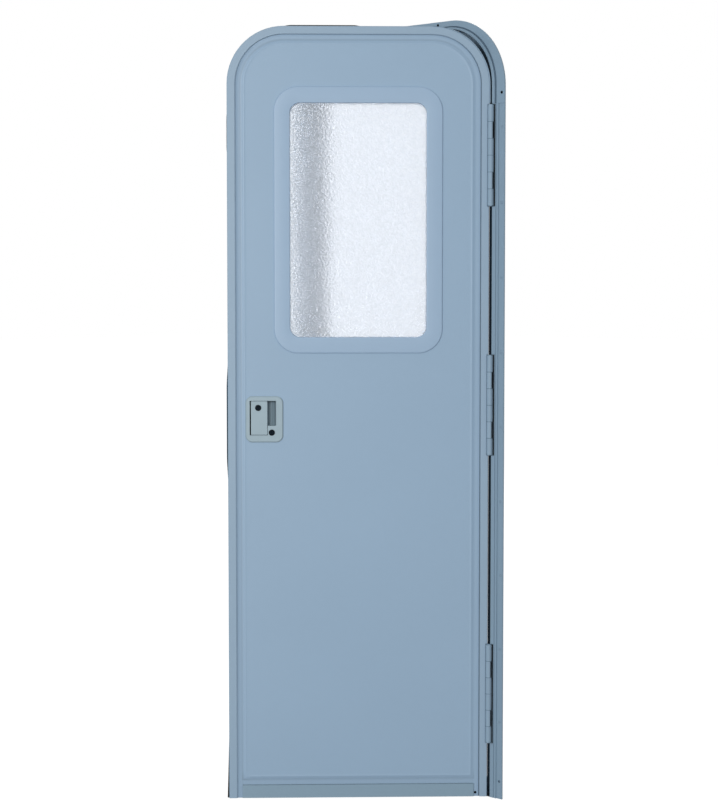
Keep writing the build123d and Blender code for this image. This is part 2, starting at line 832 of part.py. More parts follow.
with BuildPart() as inner_lever:
    with BuildSketch(upright(plate_back, leaf_pose)):
        with Locations((lock_u, lever_v)):
            Circle(lever_width / 2)
    extrude(amount=-lever_stand)
    with BuildSketch(upright(plate_back + lever_stand, leaf_pose)):
        with Locations((lock_u + lever_length / 2 - lever_width / 2, lever_v)):
            SlotOverall(lever_length, lever_width)
    extrude(amount=-lever_thickness)
write(inner_lever, "inner_lever")

with BuildPart() as inner_knob:
    with BuildSketch(upright(plate_back, leaf_pose)):
        with Locations((lock_u, knob_v)):
            Circle(knob_radius)
    extrude(amount=-knob_thickness / 2)
    with BuildSketch(upright(plate_back + knob_thickness / 2, leaf_pose)):
        with Locations((lock_u, knob_v)):
            SlotOverall(knob_grip_length, knob_grip)
    extrude(amount=-knob_thickness)
write(inner_knob, "inner_knob")
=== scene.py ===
import json
from math import cos, radians, sin

import bmesh
import bpy
import numpy as np
from mathutils import Matrix

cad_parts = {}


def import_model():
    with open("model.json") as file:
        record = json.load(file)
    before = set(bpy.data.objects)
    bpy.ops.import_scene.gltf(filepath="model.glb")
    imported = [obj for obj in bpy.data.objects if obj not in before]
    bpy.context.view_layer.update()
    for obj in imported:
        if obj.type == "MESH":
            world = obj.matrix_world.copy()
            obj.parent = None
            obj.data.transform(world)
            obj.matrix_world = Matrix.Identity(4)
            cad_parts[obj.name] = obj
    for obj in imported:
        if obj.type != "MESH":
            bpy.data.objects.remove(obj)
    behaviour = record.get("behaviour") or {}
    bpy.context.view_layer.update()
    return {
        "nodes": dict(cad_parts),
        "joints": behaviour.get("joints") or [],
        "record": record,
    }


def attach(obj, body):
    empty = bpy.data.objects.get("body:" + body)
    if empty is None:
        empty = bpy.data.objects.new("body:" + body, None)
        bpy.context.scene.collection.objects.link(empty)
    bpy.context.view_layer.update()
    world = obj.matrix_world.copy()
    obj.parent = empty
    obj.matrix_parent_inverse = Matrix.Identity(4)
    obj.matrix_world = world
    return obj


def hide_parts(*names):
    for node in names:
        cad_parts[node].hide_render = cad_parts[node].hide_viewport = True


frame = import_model()

# Places in metres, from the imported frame. A leaf point is given across (u), in depth (y) and up (z),
# as the leaf lies when it is shut; it stands open by a swing about the hinge pins.
SWING = [joint for joint in frame["joints"] if joint["name"] == "door_swing"][0]
PIN_X, PIN_Y, _ = SWING["pos_m"]
OPEN_ANGLE = -radians(SWING["range_deg"][0])

# Leaf
LEAF_HALF = 0.301
LEAF_PIN = 0.3035
LEAF_FOOT = 0.001
LEAF_TOP = 1.786
LEAF_ROUND = 0.131
FACE_Y = -0.005
RAIL_TOP = 0.031

# Outer skin: the face of its border, then the face and the outline of its raised field
SKIN_FRONT = -0.0012
FIELD_Y = -0.003
FIELD_HALF = 0.270
FIELD_FOOT = 0.044
FIELD_TOP = 1.755
FIELD_ROUND = 0.100

# Window
WINDOW_V = 1.344
RING_SIZE = (0.194, 0.305)
RING_ROUND = 0.056
RING_Y = -0.0065
GLASS_SIZE = (0.157, 0.268)
GLASS_ROUND = 0.024
INSIDE_RING_Y = 0.0325

# Lock, with the parts of its inside plate and the ends of its edge plates
LOCK_U = -0.217
LOCK_V = 0.887
INSIDE_PLATE_Y = 0.032
LEVER_V = 0.911
KNOB_V = 0.863
EDGE_PLATE_Y = 0.013
EDGE_PLATE_SCREWS = np.array([0.839, 0.935])

# Frame
FLANGE_Y = -0.0025
CORNER_Y = -0.0038
BAND_BACK = -0.002
OPENING_HALF = 0.30675
OPENING_TOP = 1.791
OPENING_ROUND = 0.136
SCREW_U = 0.33325

# Hinges
HINGE_HEIGHTS = np.array([0.245, 0.919, 1.493])
HINGE_LENGTH = 0.230
HINGE_KNUCKLES = 6
HINGE_END = 1.6125

# View: the camera looks almost square at the open leaf
VIEW_TURN = radians(43.379)
VIEW_RISE = radians(3.565)
VIEW_DISTANCE = 4.555
VIEW_HEIGHT = 0.897
VIEW_RIGHT = 0.0014
VIEW_UP = 0.0249
LENS = 87.89
SENSOR = 36.0
LAMP_HEIGHT = 1.0
LAMP_DISTANCE = 7.5
LAMP_SIZE = 2.2

# Directions: along the frame, into the wall, up, and along and out of the open leaf
RIGHT = np.array([1.0, 0.0, 0.0])
INTO = np.array([0.0, 1.0, 0.0])
UP = np.array([0.0, 0.0, 1.0])
LEAF_RIGHT = np.array([cos(OPEN_ANGLE), sin(OPEN_ANGLE), 0.0])
LEAF_OUT = np.array([sin(OPEN_ANGLE), -cos(OPEN_ANGLE), 0.0])

# Meshes: points that are merged, and the angle from which an edge is sharp
SAME_PLACE = 1e-6
SHARP_ANGLE = radians(36)

# Finishes: the orange peel's size and depth, the tones of painted shade, and white
PEEL_SCALE = 420.0
PAINT_PEEL = 0.00005
PAINTED_SHADE_TONE = (26, 36, 44)
KNUCKLE_SHADE_TONE = (4, 10, 16)
WHITE = (1.0, 1.0, 1.0, 1.0)


def leaf(u, y, z):
    """Row place of a leaf point: the shut door's point turned by the open angle about the pins."""
    u, y, z = np.broadcast_arrays(np.asarray(u, float), y, z)
    along, deep = u - LEAF_PIN, y - PIN_Y
    x = PIN_X + along * cos(OPEN_ANGLE) - deep * sin(OPEN_ANGLE)
    return np.stack([x, PIN_Y + along * sin(OPEN_ANGLE) + deep * cos(OPEN_ANGLE), z], -1)


def jamb(u, y, z):
    """Row place of a frame point, measured across from the middle of the opening."""
    u, y, z = np.broadcast_arrays(np.asarray(u, float), y, z)
    return np.stack([u - SCREW_U, y, z], -1)


def on_side(place, side):
    """The leaf's or the frame's places on the hinge side (1), or mirrored to the latch side (-1)."""
    return lambda u, y, z: place(side * u, y, z)


class Wire:
    """One socket of a node tree. Arithmetic on it adds Math nodes, and node() adds any other node."""

    def __init__(self, tree, socket=None):
        self.tree = tree
        self.socket = socket

    def node(self, kind, settings=None, inputs=None, out=0):
        """Adds a node, sets its settings first and then its sockets' values or links; gives one output."""
        made = self.tree.nodes.new("ShaderNode" + kind)
        for name, value in (settings or {}).items():
            setattr(made, name, value)
        for name, value in (inputs or {}).items():
            if isinstance(value, Wire):
                self.tree.links.new(value.socket, made.inputs[name])
            else:
                made.inputs[name].default_value = value
        return Wire(self.tree, made.outputs[out]) if made.outputs else None

    def math(self, operation, *terms):
        """Math node of these terms."""
        return self.node("Math", {"operation": operation}, dict(enumerate(terms)))

    def __add__(self, other):
        return self.math("ADD", self, other)

    __radd__ = __add__

    def __sub__(self, other):
        return self.math("SUBTRACT", self, other)

    def __rsub__(self, other):
        return self.math("SUBTRACT", other, self)

    def __mul__(self, other):
        return self.math("MULTIPLY", self, other)

    __rmul__ = __mul__

    def mix(self, low, high):
        """Colour between low and high, by this value as the factor."""
        low_colour, high_colour, mixed_colour = 6, 7, 2
        inputs = {"Factor": self, low_colour: low, high_colour: high}
        return self.node("Mix", {"data_type": "RGBA"}, inputs, out=mixed_colour)

    def stretched(self, scale):
        """This place scaled by its own factor each way."""
        return self.node("Mapping", {}, {"Vector": self, "Scale": scale})

    def noise(self, scale, detail=2.0, rough=0.5):
        """Soft noise from 0 to 1 at this place."""
        inputs = {"Vector": self, "Scale": scale, "Detail": detail, "Roughness": rough}
        return self.node("TexNoise", {}, inputs)

    def rounded_cells(self, scale, smooth):
        """Rounded cells: 0 in the middle of each, rising to its edge."""
        inputs = {"Vector": self, "Scale": scale, "Smoothness": smooth}
        return self.node("TexVoronoi", {"feature": "SMOOTH_F1"}, inputs)

    def axis(self, name):
        """One coordinate of this place."""
        return self.node("SeparateXYZ", {}, {"Vector": self}, out=name)

    def between(self, low, high):
        """0 below low and 1 above high, with a smooth rise."""
        inputs = {"Value": self, "From Min": low, "From Max": high}
        return self.node("MapRange", {"interpolation_type": "SMOOTHSTEP"}, inputs)

    def bump(self, distance):
        """Surface normal bent by this height."""
        return self.node("Bump", {}, {"Height": self, "Distance": distance})

    def softened(self, distance, radius):
        """Surface normal bent by this height, with corners eased over a radius."""
        eased = self.node("Bevel", {"samples": 6}, {"Radius": radius})
        return self.node("Bump", {}, {"Height": self, "Distance": distance, "Normal": eased})


def srgb(red, green, blue, share=1.0):
    """Linear colour of a picture colour from 0 to 255, times a share."""
    part = np.array([red, green, blue]) / 255
    linear = np.where(part <= 0.04045, part / 12.92, ((part + 0.055) / 1.055) ** 2.4) * share
    return (*(float(c) for c in linear), 1.0)


def begin(name):
    """An empty material and the wire of its Object coordinates."""
    material = bpy.data.materials.new(name)
    material.use_nodes = True
    material.node_tree.nodes.clear()
    return material, Wire(material.node_tree).node("TexCoord", out="Object")


def close(material, place, **sockets):
    """Ends a material in one Principled shader with these sockets."""
    shader = place.node("BsdfPrincipled", {}, {k.replace("_", " "): v for k, v in sockets.items()})
    place.node("OutputMaterial", {}, {"Surface": shader})
    return material


def satin_paint(name, tone, roughness, peel_depth=PAINT_PEEL, ease=0.0, with_painted_shade=False):
    """Sprayed satin paint: the tone drifts over a hand's width, and a fine orange peel is in gloss and bump.

    Paint with painted shade is darkened toward the shade tone by its surface's painted_shade attribute, laid
    in creases, grooves and recesses where shade falls.
    """
    material, place = begin(name)
    drift = place.noise(scale=3.0, detail=3.0)
    peel = place.noise(PEEL_SCALE)
    blend = place.noise(scale=60.0, detail=4.0, rough=0.7)
    colour = (drift * 0.7 + blend * 0.3).mix(srgb(*tone, 0.95), srgb(*tone, 1.05))
    # Painted shade: the attribute darkens the colour toward the shade tone
    if with_painted_shade:
        painted_shade = place.node("Attribute", {"attribute_name": "painted_shade"}, out="Fac")
        colour = painted_shade.mix(colour, srgb(*PAINTED_SHADE_TONE))
    return close(
        material,
        place,
        Base_Color=colour,
        Roughness=roughness + 0.10 * (blend - 0.5) + 0.05 * (peel - 0.5),
        IOR=1.45,
        Normal=peel.softened(peel_depth, ease) if ease else peel.bump(peel_depth),
    )


def obscured_glass(name):
    """Cast glass with a pebbled face and a milky share: soft hills bend what lies behind."""
    material, place = begin(name)
    ripple = place.noise(scale=120.0)
    pebble = place.noise(scale=210.0, detail=1.0)
    clear = {
        "Base Color": (0.885, 0.925, 0.99, 1.0),
        "Roughness": 0.13 + 0.10 * ripple,
        "Transmission Weight": 1.0,
        "IOR": 1.40,
        "Normal": pebble.bump(0.0009),
    }
    milky = {
        "Base Color": (0.88, 0.93, 1.0, 1.0),
        "Roughness": 0.35 + 0.1 * ripple,
        "Specular IOR Level": 0.2,
    }
    shaders = {1: place.node("BsdfPrincipled", {}, clear), 2: place.node("BsdfPrincipled", {}, milky)}
    mixed = place.node("MixShader", {}, {"Fac": 0.24 + 0.08 * ripple, **shaders})
    place.node("OutputMaterial", {}, {"Surface": mixed})
    return material


def rubber(name):
    """Dark sponge rubber with a fine dull skin; where it runs round the head of the frame it turns pale
    blue-grey, painted light that stands for the lit painted wall seen there.
    """
    material, place = begin(name)
    dark, dull, lit_wall_tone = srgb(24, 42, 56), srgb(38, 58, 74), srgb(112, 132, 150)
    lit_start, lit_end = 1.735, 1.770
    pores = place.noise(scale=900.0, detail=3.0)
    bloom = place.noise(scale=14.0, detail=3.0)
    # Painted light: pale toward the head of the frame
    blend = place.axis("Z").between(lit_start, lit_end)
    return close(
        material,
        place,
        Base_Color=blend.mix(bloom.mix(dark, dull), lit_wall_tone),
        Roughness=0.62 + 0.2 * pores,
        Specular_IOR_Level=0.2,
        Normal=pores.bump(0.0002),
    )


def knuckle_shade_paint(name, tone, start):
    """Hinge paint with painted shade, near black, down the side of the knuckles that turns away from the
    leaf's face, measured across the camera's view.
    """
    material, place = begin(name)
    front_start, front_end = PIN_Y + 0.0062, PIN_Y + 0.0070
    blur, waver = 0.0012, 0.0006
    peel = place.noise(PEEL_SCALE)
    # Painted shade: the knuckles' side to the right as the camera sees them, in front of a depth
    aside = (place.axis("X") - PIN_X) * cos(VIEW_TURN) + (place.axis("Y") - PIN_Y) * sin(VIEW_TURN)
    front = 1 - place.axis("Y").between(front_start, front_end)
    knuckle_shade = (aside + waver * (peel - 0.5)).between(start, start + blur) * front
    return close(
        material,
        place,
        Base_Color=knuckle_shade.mix(srgb(*tone), srgb(*KNUCKLE_SHADE_TONE)),
        Roughness=0.45 + 0.1 * peel,
        Specular_IOR_Level=0.25,
        Normal=peel.softened(PAINT_PEEL, 0.0007),
    )


def steel(name, tone, roughness):
    """Plated steel with fine brushing up and down and faint clouding."""
    material, place = begin(name)
    brush = place.stretched((1.0, 1.0, 0.03)).noise(scale=1800.0)
    cloud = place.noise(scale=40.0, detail=3.0)
    return close(
        material,
        place,
        Base_Color=cloud.mix(srgb(*tone, 0.82), srgb(*tone)),
        Metallic=1.0,
        Roughness=roughness + 0.18 * (brush - 0.5),
        Normal=brush.softened(0.00006, 0.0004),
    )


def moulded(name, tone, roughness, scale, depth, ease, shine=0.5):
    """Moulded or die-cast part with a fine spark-eroded grain of a scale and depth."""
    material, place = begin(name)
    grain = place.noise(scale)
    worn = place.noise(scale=35.0, detail=3.0)
    return close(
        material,
        place,
        Base_Color=worn.mix(srgb(*tone, 0.93), srgb(*tone, 1.05)),
        Roughness=roughness + 0.14 * (grain - 0.5),
        Specular_IOR_Level=shine,
        Normal=grain.softened(depth, ease),
    )


def vinyl_panel(name, tone):
    """Inner panel: vinyl faced board with a leathery emboss."""
    material, place = begin(name)
    hide = place.rounded_cells(scale=330.0, smooth=0.6)
    drift = place.noise(scale=4.0, detail=3.0)
    return close(
        material,
        place,
        Base_Color=drift.mix(srgb(*tone, 0.95), srgb(*tone, 1.03)),
        Roughness=0.55 + 0.2 * (hide - 0.3),
        Normal=hide.bump(0.0004),
    )


def foam_core(name):
    """Cut edge of the foam core, with open cells."""
    material, place = begin(name)
    cells = place.node("TexVoronoi", {}, {"Vector": place, "Scale": 700.0})
    return close(
        material,
        place,
        Base_Color=cells.mix(srgb(214, 208, 190), srgb(232, 228, 214)),
        Roughness=0.9,
        Normal=cells.bump(0.0004),
    )


# Each finish by its name: how it is made, and its measures
FINISH_CHOICES = {
    "skin_paint": (satin_paint, dict(tone=(146, 171, 194), roughness=0.42, peel_depth=0.00008, with_painted_shade=True)),
    "trim_paint": (satin_paint, dict(tone=(144, 167, 187), roughness=0.40, ease=0.0010)),
    "rail_paint": (satin_paint, dict(tone=(131, 155, 172), roughness=0.42, ease=0.0010)),
    # Frame paint: the leaf's paint darkened as painted shade, for the frame's face turned away from the
    # light
    "frame_paint": (satin_paint, dict(tone=(128, 152, 171), roughness=0.40, ease=0.0007)),
    "ring_paint": (satin_paint, dict(tone=(152, 176, 200), roughness=0.40)),
    "leaf_hinge_paint": (knuckle_shade_paint, dict(tone=(140, 163, 182), start=0.0030)),
    "frame_hinge_paint": (knuckle_shade_paint, dict(tone=(138, 161, 180), start=0.0063)),
    "recess_grey": (satin_paint, dict(tone=(154, 176, 188), roughness=0.45, with_painted_shade=True)),
    # Dark tone of the corner sealant and the knuckle rings, which stands in for shade in the channels and
    # gaps; also on the foot screws
    "joint_sealant": (satin_paint, dict(tone=(78, 98, 116), roughness=0.60, peel_depth=0.00010)),
    "obscured_glass": (obscured_glass, {}),
    "seal_rubber": (rubber, {}),
    "bare_steel": (steel, dict(tone=(196, 198, 200), roughness=0.34)),
    "key_metal": (steel, dict(tone=(18, 24, 30), roughness=0.42)),
    "lock_grey": (
        moulded,
        dict(tone=(151, 171, 181), roughness=0.42, scale=500.0, depth=0.00008, ease=0.0009),
    ),
    "lock_black": (
        moulded,
        dict(tone=(7, 11, 15), roughness=0.50, scale=700.0, depth=0.00006, ease=0.0004, shine=0.03),
    ),
    "inside_black": (
        moulded,
        dict(tone=(34, 35, 37), roughness=0.50, scale=600.0, depth=0.00012, ease=0.0012),
    ),
    "inner_panel": (vinyl_panel, dict(tone=(222, 219, 210))),
    "foam": (foam_core, {}),
}
FINISHES = {name: make(name, **measures) for name, (make, measures) in FINISH_CHOICES.items()}

# Nodes whose finish is not that of their slot
NODE_FINISHES = {"bottom_rail": "rail_paint"}
for hinge in ("lower", "middle", "upper"):
    NODE_FINISHES["hinge_pin_" + hinge] = "frame_paint"
    NODE_FINISHES["door_hinge_" + hinge] = "leaf_hinge_paint"
    NODE_FINISHES["frame_hinge_" + hinge] = "frame_hinge_paint"

for part in frame["record"]["subparts"]:
    node = frame["nodes"][part["node"]]
    node.data.materials.clear()
    node.data.materials.append(FINISHES[NODE_FINISHES.get(part["node"], part["material_slot"])])


def cells_of(grid, round_rows=False, round_columns=False, keep=None):
    """Corner numbers of a grid's cells, wrapped where the grid closes on itself; keep picks cells."""
    rows, columns = grid.shape[:2]
    index = np.arange(rows * columns).reshape(rows, columns)
    if round_rows:
        index = np.concatenate([index, index[:1]])
    if round_columns:
        index = np.concatenate([index, index[:, :1]], 1)
    corners = np.stack([index[:-1, :-1], index[:-1, 1:], index[1:, 1:], index[1:, :-1]], -1)
    return corners.reshape(-1, 4) if keep is None else corners[keep]


def sheet_part(grid, round_rows=False, keep=None):
    """Open surface from a grid of points: its points and its faces' corners."""
    return grid.reshape(-1, 3), [cells_of(grid, round_rows, keep=keep)]


def bar_part(grid):
    """Closed bar: rings of points along its length, with a flat face over its first and last ring."""
    rows, columns = grid.shape[:2]
    ends = np.stack([np.arange(columns)[::-1], (rows - 1) * columns + np.arange(columns)])
    return grid.reshape(-1, 3), [cells_of(grid, round_columns=True), ends]


def ring_part(grid):
    """Closed bar that runs round into itself."""
    return grid.reshape(-1, 3), [cells_of(grid, round_rows=True, round_columns=True)]


def stand(name, data):
    """New object in the scene, at the origin."""
    made = bpy.data.objects.new(name, data)
    bpy.context.scene.collection.objects.link(made)
    return made


def add_piece(name, parts, slot, body, faces_out=None, stands_for=(), finish=None):
    """One piece from parts of points, faces and painted shade, smooth but for corners, facing out, riding on
    a body.

    Its finish is that of its slot unless another is named.
    """
    points, faces, painted_shade, start = [], [], [], 0
    for some, blocks, *shading in parts:
        points.append(some)
        faces += [face for block in blocks for face in (start + block).tolist()]
        painted_shade.append(np.ravel(shading[0]) if shading else np.zeros(len(some)))
        start += len(some)
    mesh = bpy.data.meshes.new(name)
    mesh.from_pydata(np.concatenate(points).tolist(), [], faces)
    if any(some.any() for some in painted_shade):
        attribute = mesh.attributes.new("painted_shade", "FLOAT", "POINT")
        attribute.data.foreach_set("value", np.concatenate(painted_shade))
    shell = bmesh.new()
    shell.from_mesh(mesh)
    bmesh.ops.remove_doubles(shell, verts=shell.verts, dist=SAME_PLACE)
    bmesh.ops.recalc_face_normals(shell, faces=shell.faces)
    shell.to_mesh(mesh)
    shell.free()
    mesh.validate()
    if faces_out is not None:
        normals = np.empty(3 * len(mesh.polygons))
        areas = np.empty(len(mesh.polygons))
        mesh.polygons.foreach_get("normal", normals)
        mesh.polygons.foreach_get("area", areas)
        if (normals.reshape(-1, 3) @ faces_out * areas).sum() < 0:
            mesh.flip_normals()
    mesh.shade_smooth()
    mesh.set_sharp_from_angle(angle=SHARP_ANGLE)
    mesh.materials.append(FINISHES[finish or slot])
    piece = stand(name, mesh)
    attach(piece, body)
    if stands_for:
        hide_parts(*stands_for)


def full_turn(count):
    """Angles of even steps round a circle."""
    return np.linspace(0, 2 * np.pi, count, endpoint=False)


def smooth(x):
    """Rise from 0 to 1 with level ends: 3 x^2 - 2 x^3."""
    x = np.clip(x, 0, 1)
    return x * x * (3 - 2 * x)


def hump(x, low, high, ramp):
    """1 between low and high, falling smoothly to 0 over a ramp beyond them."""
    return smooth((x - low + ramp) / ramp) * smooth((high + ramp - x) / ramp)


def bell(x, middle, width):
    """Bell curve of height 1: e to the power of -((x - middle) / width)^2."""
    return np.exp(-(((x - middle) / width) ** 2))


def rounded_path(corners, rounds, closed=True, turns=10, step=0.06):
    """Clockwise path through right-angled corners: at each, centre + round (n1 cos a + n2 sin a).

    Gives its points (across, up) and their outward normals, with runs longer than a step divided.
    """
    corners = np.asarray(corners, float)
    count = len(corners)
    angle = np.linspace(0, np.pi / 2, turns)[:, None]
    runs = np.roll(corners, -1, 0) - corners
    runs /= np.hypot(*runs.T)[:, None]
    outward = np.stack([-runs[:, 1], runs[:, 0]], -1)
    points, normals = [], []
    if not closed:
        points.append(corners[:1])
        normals.append(outward[:1])
    for here in range(count) if closed else range(1, count - 1):
        bend = outward[here - 1] * np.cos(angle) + outward[here] * np.sin(angle)
        centre = corners[here] - rounds[here] * (outward[here - 1] + outward[here])
        points.append(centre + rounds[here] * bend)
        normals.append(bend)
    if not closed:
        points.append(corners[-1:])
        normals.append(outward[-2:-1])
    points, normals = np.concatenate(points), np.concatenate(normals)
    ahead = np.roll(points, -1, 0) if closed else points[1:]
    gaps = np.hypot(*(ahead - points[: len(ahead)]).T)
    splits = np.maximum(1, np.ceil(gaps / step)).astype(int)
    start = np.repeat(np.arange(len(splits)), splits)
    share = np.concatenate([np.arange(n) / n for n in splits])[:, None]
    placed = points[start] + share * (ahead[start] - points[start])
    facing = normals[start]
    if not closed:
        placed, facing = np.concatenate([placed, points[-1:]]), np.concatenate([facing, normals[-1:]])
    return placed, facing


def rounded_rectangle(centre, half, round_by, **divided):
    """Clockwise path round a rectangle with equal rounds, and its outward normals."""
    signs = np.array([[-1, -1], [-1, 1], [1, 1], [1, -1]])
    return rounded_path(np.asarray(centre) + signs * np.asarray(half), [round_by] * 4, **divided)


def carried(path, normals, away, depth, place):
    """Profile carried along a path: each path point plus its normal times away, at the profile's depth."""
    away = np.broadcast_to(away, (len(path), np.shape(away)[-1]))
    u = path[:, None, 0] + normals[:, None, 0] * away
    z = path[:, None, 1] + normals[:, None, 1] * away
    return place(u, np.broadcast_to(depth, u.shape), z)


def post(outline, heights, side=1):
    """Upright bar in the frame: an outline in plan carried from one height to the other."""
    return bar_part(on_side(jamb, side)(outline[:, 0], outline[:, 1], np.reshape(heights, (2, 1))))


def with_marks(lines, marks, clear):
    """Grid lines with marks put among them, less the lines that lie within clear of a mark."""
    apart = np.abs(lines[:, None] - marks).min(1) > clear
    return np.sort(np.concatenate([lines[apart], marks]))


def pressed_skin():
    """Outer skin: the field's own grid, and a rolled edge and a border carried outward from its outline.

    The field is flat with a waviness of a tenth of a millimetre that fades to its edges. Going outward the
    depth has a small crest, falls by a smooth step to the border and drops into the groove beside the trim.
    Cells under the window ring and the lock's bezel are left out. Painted shade lies in the crease, the
    groove and the strip above the bottom rail.
    """
    # Lines of the field's grid: upright ones drawn in with the rounded top, level ones closer at the top
    inset = 0.014
    half, foot, top, turn = FIELD_HALF - inset, FIELD_FOOT + inset, FIELD_TOP - inset, FIELD_ROUND - inset
    cuts = (((LOCK_U, LOCK_V), (0.038, 0.048)), ((0.0, WINDOW_V), (0.176, 0.288)))
    holes = [(u - across, u + across, v - up, v + up) for (u, v), (across, up) in cuts]
    marks_u = np.array([-half, half, holes[0][1], *holes[1][:2]])
    marks_v = np.array([*holes[0][2:], *holes[1][2:]])
    lines_u = with_marks(np.linspace(-half, half, 66), marks_u, clear=0.0025)
    straight = with_marks(np.linspace(foot, top - turn, 170), marks_v, clear=0.003)
    arc = np.linspace(0, np.pi / 2, 22)[1:]
    lines_v = np.concatenate([straight, top - turn + turn * np.sin(arc)])
    climb = np.clip((lines_v - top + turn) / turn, 0, 1)
    spread = np.sqrt(1 - climb ** 2)
    widths = half - turn + turn * spread

    # Field
    fade_width, wave_height = 0.05, 0.00012
    u = widths[:, None] * lines_u / half
    v = np.broadcast_to(lines_v[:, None], u.shape)
    fade = smooth((widths[:, None] - np.abs(u)) / fade_width)
    fade = fade * smooth((v - foot) / fade_width) * smooth((top - v) / fade_width)
    wave = np.sin(17 * u + 5.1 * v + 0.6) * np.sin(6.3 * v - 4 * u)
    wave = wave + 0.5 * np.sin(31 * u - 9 * v + 2) * np.sin(13 * v)
    field = leaf(u, FIELD_Y + wave_height * fade * wave, v)
    mid_u = (u[:-1, :-1] + u[1:, 1:]) / 2
    mid_v = (v[:-1, :-1] + v[1:, 1:]) / 2
    keep = np.ones(mid_u.shape, bool)
    for left, right, low, high in holes:
        keep &= ~((mid_u > left) & (mid_u < right) & (mid_v > low) & (mid_v < high))

    # Outline of the field, and the same without its foot, run down to the leaf's foot
    level = np.ones(len(lines_u) - 2)
    path = np.stack([
        np.concatenate([-widths, u[-1, 1:-1], widths[::-1], u[0, -2:0:-1]]),
        np.concatenate([lines_v, level * top, lines_v[::-1], level * foot]),
    ], -1)
    normals = np.stack([
        np.concatenate([-spread, 0 * level, spread[::-1], 0 * level]),
        np.concatenate([climb, level, climb[::-1], -level]),
    ], -1)
    sides = slice(0, 2 * len(lines_v) + len(level))
    border_path, border_normals = path[sides].copy(), normals[sides].copy()
    border_path[[0, -1], 1] = LEAF_FOOT
    normals[[0, sides.stop - 1], 1] = -1

    def crease_shade(away, facing):
        """Painted shade on the line where the roll meets the border, least on the hinge side."""
        left, upright = np.clip(-facing[..., :1], 0, 1), facing[..., 1:] ** 2
        line = (0.04 + 0.06 * left + 0.16 * upright) * bell(away, inset, 0.0022)
        return line + 0.05 * left * smooth((away - 0.011) / 0.004)

    # Roll: stations outward from the outline, with the crest before the step
    roll_start, roll_width, crest = 0.006, 0.008, 0.00035
    out = np.array([0, 1.5, 3, 4, 4.8, 5.6, 6.4, 7.2, 8, 9, 10, 11, 12, 13, 14, 15, 16]) / 1000
    step = smooth((out - roll_start) / roll_width) * (SKIN_FRONT - FIELD_Y)
    depth = FIELD_Y + step - crest * bell(out, 0.0062, 0.0022)
    roll = carried(path, normals, out, depth, leaf)

    # Border: four flat stations, then five down into the groove, whose gap and depth vary round the leaf
    right = np.clip(border_normals[:, :1], 0, 1)
    left = np.clip(-border_normals[:, :1], 0, 1)
    upward = np.clip(border_normals[:, 1:], 0, 1)

    def round_leaf(plain, at_hinge, at_top, at_latch):
        """Measure of the groove, with a share for each way that the border faces."""
        return plain + at_hinge * right + at_top * upward ** 2 + at_latch * left ** 2

    trim = FIELD_HALF + 0.013 - half
    gap = round_leaf(0.0006, at_hinge=0.0018, at_top=0.0012, at_latch=0.0018)
    groove = round_leaf(0.0003, at_hinge=0.0011, at_top=0.0006, at_latch=-0.0026)
    flats = np.array([0.013, 0.0145, 0.016, 0.018, 0, 0, 0, 0, 0])
    shares = np.array([0.0, 0.0, 0.0, 0.0, 1.0, 0.85, 0.7, 0.3, 0.0])
    drop = np.array([0.0, 0.0, 0.0, 0.0, 0.0, 0.1, 0.9, 1.0, 1.0])
    border_y = SKIN_FRONT + 0.00002
    away = np.where(flats > 0, flats, trim - gap * shares)
    border = carried(border_path, border_normals, away, border_y + drop * groove, leaf)
    # Painted shade in the crease, and in the groove, darkest on the hinge side and at the top
    shading = crease_shade(away, border_normals) + (drop > 0) * (0.02 + 0.55 * right ** 2 + 0.20 * upward ** 4)

    # Strip between the roll and the bottom rail
    strip_half, strip_low, strip_high = 0.269, RAIL_TOP + 0.0015, foot - inset + 0.003
    strip_u, strip_v = np.meshgrid([-strip_half, strip_half], np.linspace(strip_low, strip_high, 12))
    strip = leaf(strip_u, border_y, strip_v)
    # Painted shade over the strip above the bottom rail, and in its crease
    strip_shading = 0.07 + crease_shade(foot - strip_v, np.array([0.0, -1.0]))
    parts = [
        sheet_part(field, keep=keep),
        (*sheet_part(roll, round_rows=True), crease_shade(out, normals)),
        (*sheet_part(border), shading),
        (*sheet_part(strip), strip_shading),
    ]
    add_piece("pressed_skin", parts, "skin_paint", "door", LEAF_OUT, ["outer_skin"])


def window_surround():
    """Outer window ring: rounded outer and inner edges joined by a flat face.

    The outer part of the profile follows the ring's outline, the inner part the glass's, station by station.
    """
    outer_round, inner_round, wall, tuck = 0.0030, 0.0016, 0.0006, 0.001
    undivided = {"turns": 16, "step": 9.0}
    outer = rounded_rectangle((0, WINDOW_V), RING_SIZE, RING_ROUND, **undivided)
    inner = rounded_rectangle((0, WINDOW_V), GLASS_SIZE, GLASS_ROUND, **undivided)
    ease = np.linspace(0, np.pi / 2, 7)
    seat = [FIELD_Y, FIELD_Y]
    out_away = np.concatenate([[-tuck, 0.0], -outer_round * (1 - np.cos(ease))])
    out_depth = np.concatenate([seat, FIELD_Y - wall + (RING_Y - FIELD_Y + wall) * np.sin(ease)])
    in_away = np.concatenate([inner_round * (1 - np.sin(ease)), [0.0, tuck]])
    in_depth = np.concatenate([RING_Y + inner_round * (1 - np.cos(ease)), seat])
    grid = np.concatenate([
        carried(*outer, out_away, out_depth, leaf),
        carried(*inner, in_away, in_depth, leaf),
    ], 1)
    add_piece("window_surround", [ring_part(grid)], "ring_paint", "door", None, ["window_ring_outer"])


